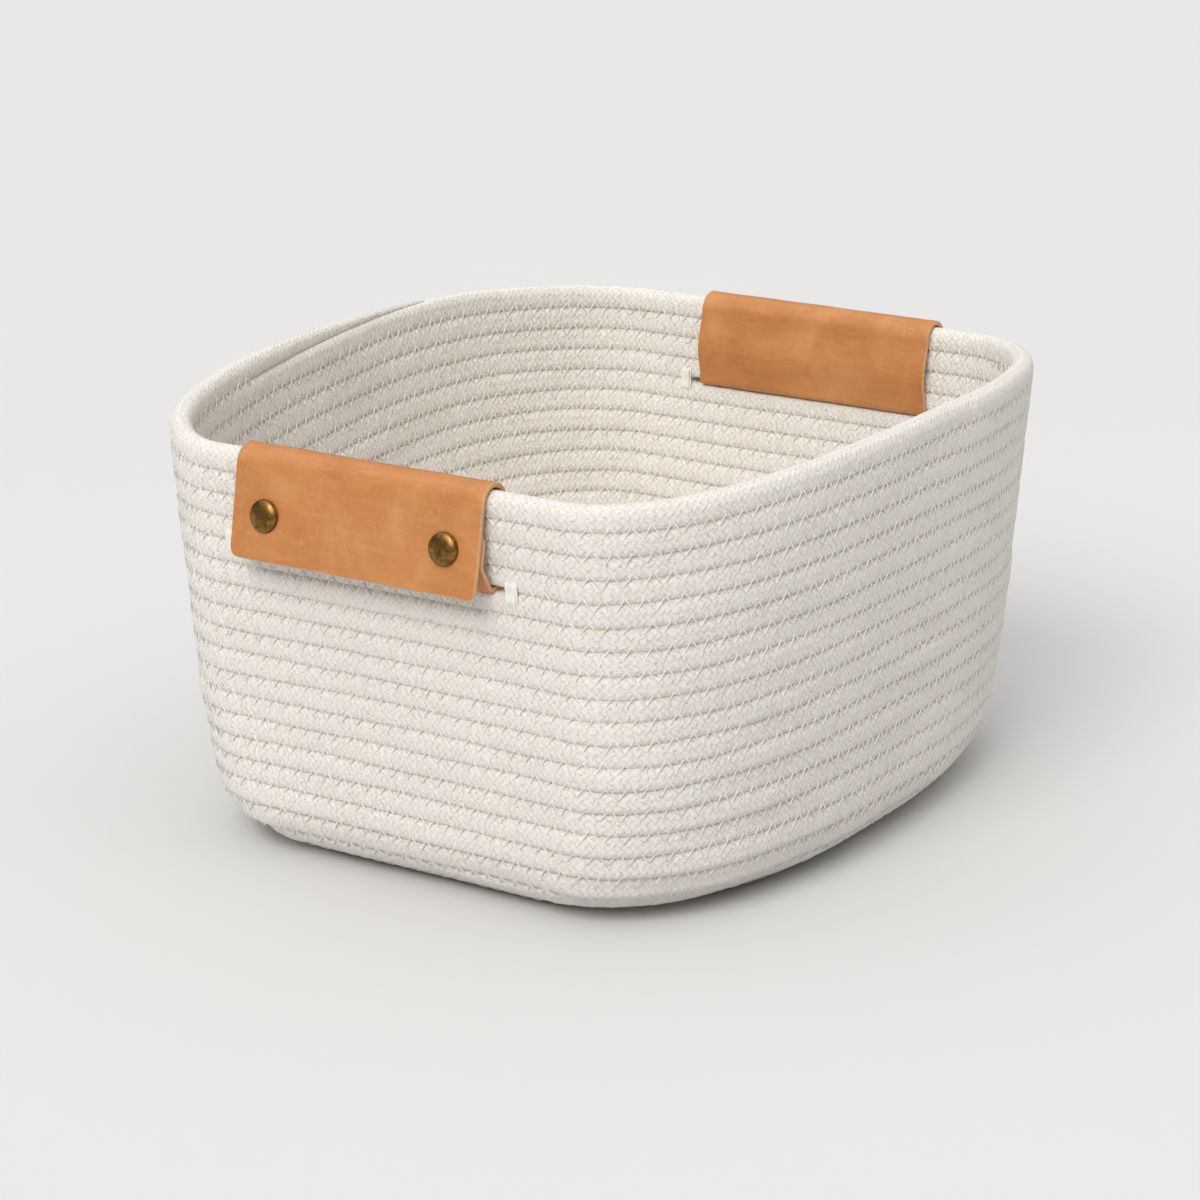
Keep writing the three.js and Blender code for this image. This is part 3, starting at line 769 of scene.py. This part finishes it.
def braid(s, along, around):
    """Strands that cross over and under each other at a slant. Gives their height, and how far apart
    the fibres of each strand are tinted."""
    wander = s.math("MULTIPLY", s.noise(s.join(along, around), 0.27, 4.0, 0.55), 1.9)
    one = s.math("ADD", s.math("DIVIDE", s.math("ADD", along, around), STRAND), wander)
    other = s.math("ADD", s.math("DIVIDE", s.math("SUBTRACT", along, around), STRAND), wander)
    cells = s.math("ADD", s.math("FLOOR", one), s.math("FLOOR", other))
    over = s.math("LESS_THAN", s.math("FLOORED_MODULO", cells, 2.0), 0.5)
    heights, fibres = [], []
    for across, down in ((one, other), (other, one)):
        heights.append(s.math("SINE", s.math("MULTIPLY", s.math("FRACT", across), math.pi)))
        place = s.join(s.math("MULTIPLY", across, 5.5), s.math("MULTIPLY", down, 1.1))
        fibres.append(s.noise(place, 1.0, 3.0, 0.6, 0.5))
    return tuple(s.node("Mix", {0: over, 2: pair[1], 3: pair[0]}).outputs[0] for pair in (heights, fibres))


def needle_holes(s, stitch, beside):
    """1 where the needle pulls the thread into the rope, and 0 away from there."""
    lower_row = s.math("MULTIPLY", s.math("LESS_THAN", beside, 0.0), 0.5)
    phase = s.math("SUBTRACT", s.math("FRACT", s.math("ADD", s.math("ADD", stitch, lower_row), 0.5)), 0.5)
    across = s.math("SUBTRACT", s.math("ABSOLUTE", beside), NEEDLE_REACH + 0.75)
    squares = []
    for part, size in ((phase, HOLE_RADIUS / STITCH), (across, HOLE_RADIUS)):
        squares.append(s.math("POWER", s.math("ABSOLUTE", s.math("DIVIDE", part, size)), 2.0))
    return s.math("EXPONENT", s.math("MULTIPLY", s.math("ADD", *squares), -1.0))


def cotton_rope_material():
    """Undyed cotton: braided strands of fine fibres, faint tints, and needle holes by each seam. Shade is
    painted darker where the strands dip, in their gaps, in the needle holes and along each groove.
    """
    s = Shader("cotton_rope", {"Roughness": 0.93, "Sheen Weight": 0.25, "Sheen Roughness": 0.5})
    along, around = s.uv("rope")
    stitch, beside = s.uv("seam")
    strand, fibre = braid(s, along, around)
    hole = needle_holes(s, stitch, beside)
    fuzz = s.noise(s.join(along, around), 3.4, 4.0, 0.75, 1.0)
    gaps = s.ramp(s.noise(s.join(along, around, 4.0), 1.35, 3.0, 0.6), 0.3, 0.42, 1.0, 0.0)
    gap = s.math("MULTIPLY", gaps, s.ramp(strand, 0.25, 0.75, 1.0, 0.0))

    tint_place = s.join(along, s.math("MULTIPLY", around, 1.4))
    warm = s.ramp(s.noise(tint_place, 0.22, 3.0), 0.48, 0.72)
    cool = s.ramp(s.noise(s.join(around, along, 7.0), 0.3, 3.0), 0.5, 0.75)
    base = s.mix(s.math("MULTIPLY", warm, 0.5), colour(251, 246, 239), colour(250, 238, 220))
    base = s.mix(s.math("MULTIPLY", cool, 0.3), base, colour(238, 237, 239))
    # Tones at random and of the fibres, then painted shade: darker where the strands dip, in the gaps between
    # them and in the needle holes.
    tones_and_painted_shades = [
        s.ramp(s.noise(s.place(), 22.0, 3.0), 0.3, 0.7, 0.97, 1.02),
        s.ramp(fibre, 0.3, 0.7, 0.93, 1.03),
        s.ramp(strand, 0.0, 0.6, 0.94, 1.0),
        s.ramp(gap, 0.0, 1.0, 1.0, 0.78),
        s.ramp(hole, 0.0, 1.0, 1.0, 0.86),
    ]
    tone_and_painted_shade = tones_and_painted_shades[0]
    for one in tones_and_painted_shades[1:]:
        tone_and_painted_shade = s.math("MULTIPLY", tone_and_painted_shade, one)
    base = s.mix(1.0, base, s.node("CombineColor", {0: tone_and_painted_shade, 1: tone_and_painted_shade, 2: tone_and_painted_shade}).outputs[0], "MULTIPLY")
    # Painted shade: a darker beige tint along each groove between turns, by the seam.
    groove_shade = s.ramp(s.math("ABSOLUTE", beside), 0.3, 1.8, 0.5, 0.0)
    base = s.mix(groove_shade, base, colour(224, 203, 172))

    parts = ((strand, 0.52), (fibre, 0.36), (fuzz, 0.42), (gap, -0.5), (hole, -0.5))
    height = 0.0
    for part, size in parts:
        height = s.math("MULTIPLY_ADD", part, size, height)
    s.link({"Base Color": base, "Normal": s.bump(height, 0.5)})
    return s.material


def cotton_thread_material():
    s = Shader("cotton_thread", {"Roughness": 0.8, "Sheen Weight": 0.2})
    twist = s.noise(s.place(), 1800.0, 2.0)
    tone = s.mix(s.ramp(twist, 0.35, 0.65), colour(236, 231, 222), colour(250, 248, 243))
    s.link({"Base Color": tone, "Normal": s.bump(twist, 0.12, 0.6)})
    return s.material


def leather_marks(s, sheet, along, across):
    """A few creases, scratches and fine wrinkles: 1 in the middle of each."""
    line = s.math("ABSOLUTE", s.math("SUBTRACT", s.noise(sheet, 0.045, 3.0, 0.45, 1.5), 0.5))
    rare = s.ramp(s.noise(s.join(across, along, 3.0), 0.06, 1.0), 0.5, 0.62)
    crease = s.math("MULTIPLY", s.ramp(line, 0.0, 0.006, 1.0, 0.0), rare)

    long_way = s.join(s.math("MULTIPLY", along, 0.15), across, 9.0)
    line = s.math("ABSOLUTE", s.math("SUBTRACT", s.noise(long_way, 0.4, 2.0), 0.5))
    scratched = s.ramp(s.noise(sheet, 0.1, 1.0), 0.55, 0.65)
    scratch = s.math("MULTIPLY", s.ramp(line, 0.0, 0.008, 0.5, 0.0), scratched)

    worn = s.ramp(s.noise(sheet, 0.035, 2.0), 0.44, 0.6, 0.12, 0.7)
    wrinkle = s.math("MULTIPLY", s.ramp(s.cell_edges(sheet, 0.5), 0.0, 0.05, 1.0, 0.0), worn)
    return s.math("MINIMUM", s.math("ADD", s.math("ADD", crease, scratch), wrinkle), 1.0)


def leather_tan(s, clouds, along, across):
    """Clouded tan, with pale streaks along the strap's width."""
    fine_clouds = s.noise(s.place(), 170.0, 3.0, 0.6)
    tan, dark, light = colour(201, 133, 75), colour(186, 117, 61), colour(212, 148, 91)
    base = s.mix(s.ramp(clouds, 0.32, 0.62), dark, tan)
    base = s.mix(s.math("MULTIPLY", s.ramp(clouds, 0.55, 0.75), 0.7), base, light)
    base = s.mix(s.math("MULTIPLY", s.ramp(fine_clouds, 0.55, 0.75), 0.3), base, dark)
    wide = s.join(s.math("MULTIPLY", along, 0.45), s.math("MULTIPLY", across, 0.07))
    streaks = s.noise(wide, 1.0, 4.0, 0.65)
    return s.mix(s.ramp(streaks, 0.48, 0.7, 0.0, 0.45), base, light)


def leather_material():
    """Smooth tan leather: clouded colour, fine grain, pale marks, and pale rubbed edges."""
    s = Shader("tan_leather", {"Specular IOR Level": 0.5})
    edge, _ = s.uv("edge")
    along, across = s.uv("strap")
    sheet = s.join(along, across)
    clouds = s.noise(s.place(), 38.0, 4.0, 0.6, 0.6)
    marks = leather_marks(s, sheet, along, across)
    base = leather_tan(s, clouds, along, across)
    base = s.mix(s.math("MULTIPLY", marks, 0.4), base, colour(228, 174, 118))
    rubbed = s.ramp(edge, 0.05, 0.5)
    base = s.mix(s.math("MULTIPLY", rubbed, 0.7), base, colour(224, 178, 132))

    pebble = s.ramp(s.cell_edges(sheet, 1.5), 0.0, 0.22)
    pores = s.noise(sheet, 3.4, 3.0, 0.6)
    height = s.math("ADD", s.math("MULTIPLY", pebble, 0.25), s.math("MULTIPLY", pores, 0.35))
    height = s.math("ADD", height, s.math("MULTIPLY", clouds, 0.8))
    height = s.math("SUBTRACT", height, s.math("MULTIPLY", marks, 0.4))
    rough = s.ramp(clouds, 0.3, 0.7, 0.36, 0.46)
    rough = s.math("ADD", rough, s.math("MULTIPLY", rubbed, 0.25))
    s.link({"Base Color": base, "Roughness": rough, "Normal": s.bump(height, 0.12)})
    return s.material


def brass_material():
    """Aged brass: mottled olive-brown, with fine brushing that is brighter in streaks."""
    s = Shader("antique_brass", {"Metallic": 1.0})
    place = s.place()
    mottle = s.noise(place, 420.0, 4.0, 0.65, 0.8)
    brushing = s.node("Mapping", {"Vector": place, "Scale": (2600.0, 500.0, 400.0)}).outputs[0]
    brushed = s.noise(brushing, 1.0, 3.0)
    base = s.mix(s.ramp(mottle, 0.35, 0.65), colour(98, 70, 34), colour(158, 122, 66))
    base = s.mix(s.math("MULTIPLY", s.ramp(brushed, 0.55, 0.8), 0.5), base, colour(196, 160, 98))
    rough = s.ramp(mottle, 0.3, 0.7, 0.44, 0.3)
    s.link({"Base Color": base, "Roughness": rough, "Normal": s.bump(brushed, 0.03, 0.6)})
    return s.material


def floor_material():
    s = Shader("pale_floor", {"Roughness": 0.85, "Specular IOR Level": 0.2})
    tone = s.ramp(s.noise(s.place(), 3.0, 2.0), 0.3, 0.7, 0.70, 0.707)
    s.link({"Base Color": s.node("CombineColor", {0: tone, 1: tone, 2: tone}).outputs[0]})
    return s.material


# ---- Camera, light and floor ----


def make_camera():
    """The photographer's view: from the left front corner, a little above the rim."""
    azimuth, elevation, roll = math.radians(-57.268), math.radians(17.294), math.radians(-0.194)
    distance, focal = 1512.6, 3729.4 / 1200
    target = Vector((41.9, 33.6, 58.5))
    level = math.cos(elevation)
    back = Vector((math.sin(azimuth) * level, -math.cos(azimuth) * level, math.sin(elevation)))
    right = Vector((math.cos(azimuth), math.sin(azimuth), 0))
    up = back.cross(right)
    turned_right = right * math.cos(roll) + up * math.sin(roll)
    turned_up = up * math.cos(roll) - right * math.sin(roll)
    camera = bpy.data.objects.new("camera", bpy.data.cameras.new("camera"))
    bpy.context.scene.collection.objects.link(camera)
    camera.data.sensor_width = 36
    camera.data.lens = 36 * focal
    camera.data.clip_start, camera.data.clip_end = 0.05, 50
    axes = Matrix((turned_right, turned_up, back)).transposed().to_4x4()
    camera.matrix_world = Matrix.Translation((target + back * distance) * MM) @ axes
    bpy.context.scene.camera = camera


def make_light():
    """A pale room, a soft light from the upper left, and a very wide one from above."""
    world = bpy.data.worlds.new("room")
    bpy.context.scene.world = world
    world.use_nodes = True
    world.node_tree.nodes["Background"].inputs[0].default_value = (1.0, 0.995, 0.985, 1)
    world.node_tree.nodes["Background"].inputs[1].default_value = 0.22
    add_sun("soft_key", 1.56, 32, (-0.75, -0.1, 0.66), (1.0, 0.985, 0.965))
    add_sun("overhead", 1.95, 110, (0, 0, 1), (1.0, 0.998, 0.99))


def add_sun(name, energy, spread, towards, tint):
    sun = bpy.data.lights.new(name, "SUN")
    sun.energy = energy
    sun.angle = math.radians(spread)
    sun.color = tint
    lamp = bpy.data.objects.new(name, sun)
    bpy.context.scene.collection.objects.link(lamp)
    lamp.rotation_euler = Vector(towards).to_track_quat("Z", "Y").to_euler()


def make_floor(material):
    half = 8000
    points = [(-half, -half, 0), (half, -half, 0), (half, half, 0), (-half, half, 0)]
    mesh = new_mesh("floor", np.array(points, float), np.array([[0, 1, 2, 3]]))
    mesh.materials.append(material)
    floor = bpy.data.objects.new("floor", mesh)
    bpy.context.scene.collection.objects.link(floor)


make_camera()
make_light()
make_floor(floor_material())
thread = cotton_thread_material()
make_rope(cotton_rope_material())
make_seams(thread)
make_bar_tacks(thread)
leather, brass = leather_material(), brass_material()
for end in ("left", "right"):
    make_handle(end, leather, brass)
bpy.context.scene.view_settings.view_transform = "Standard"
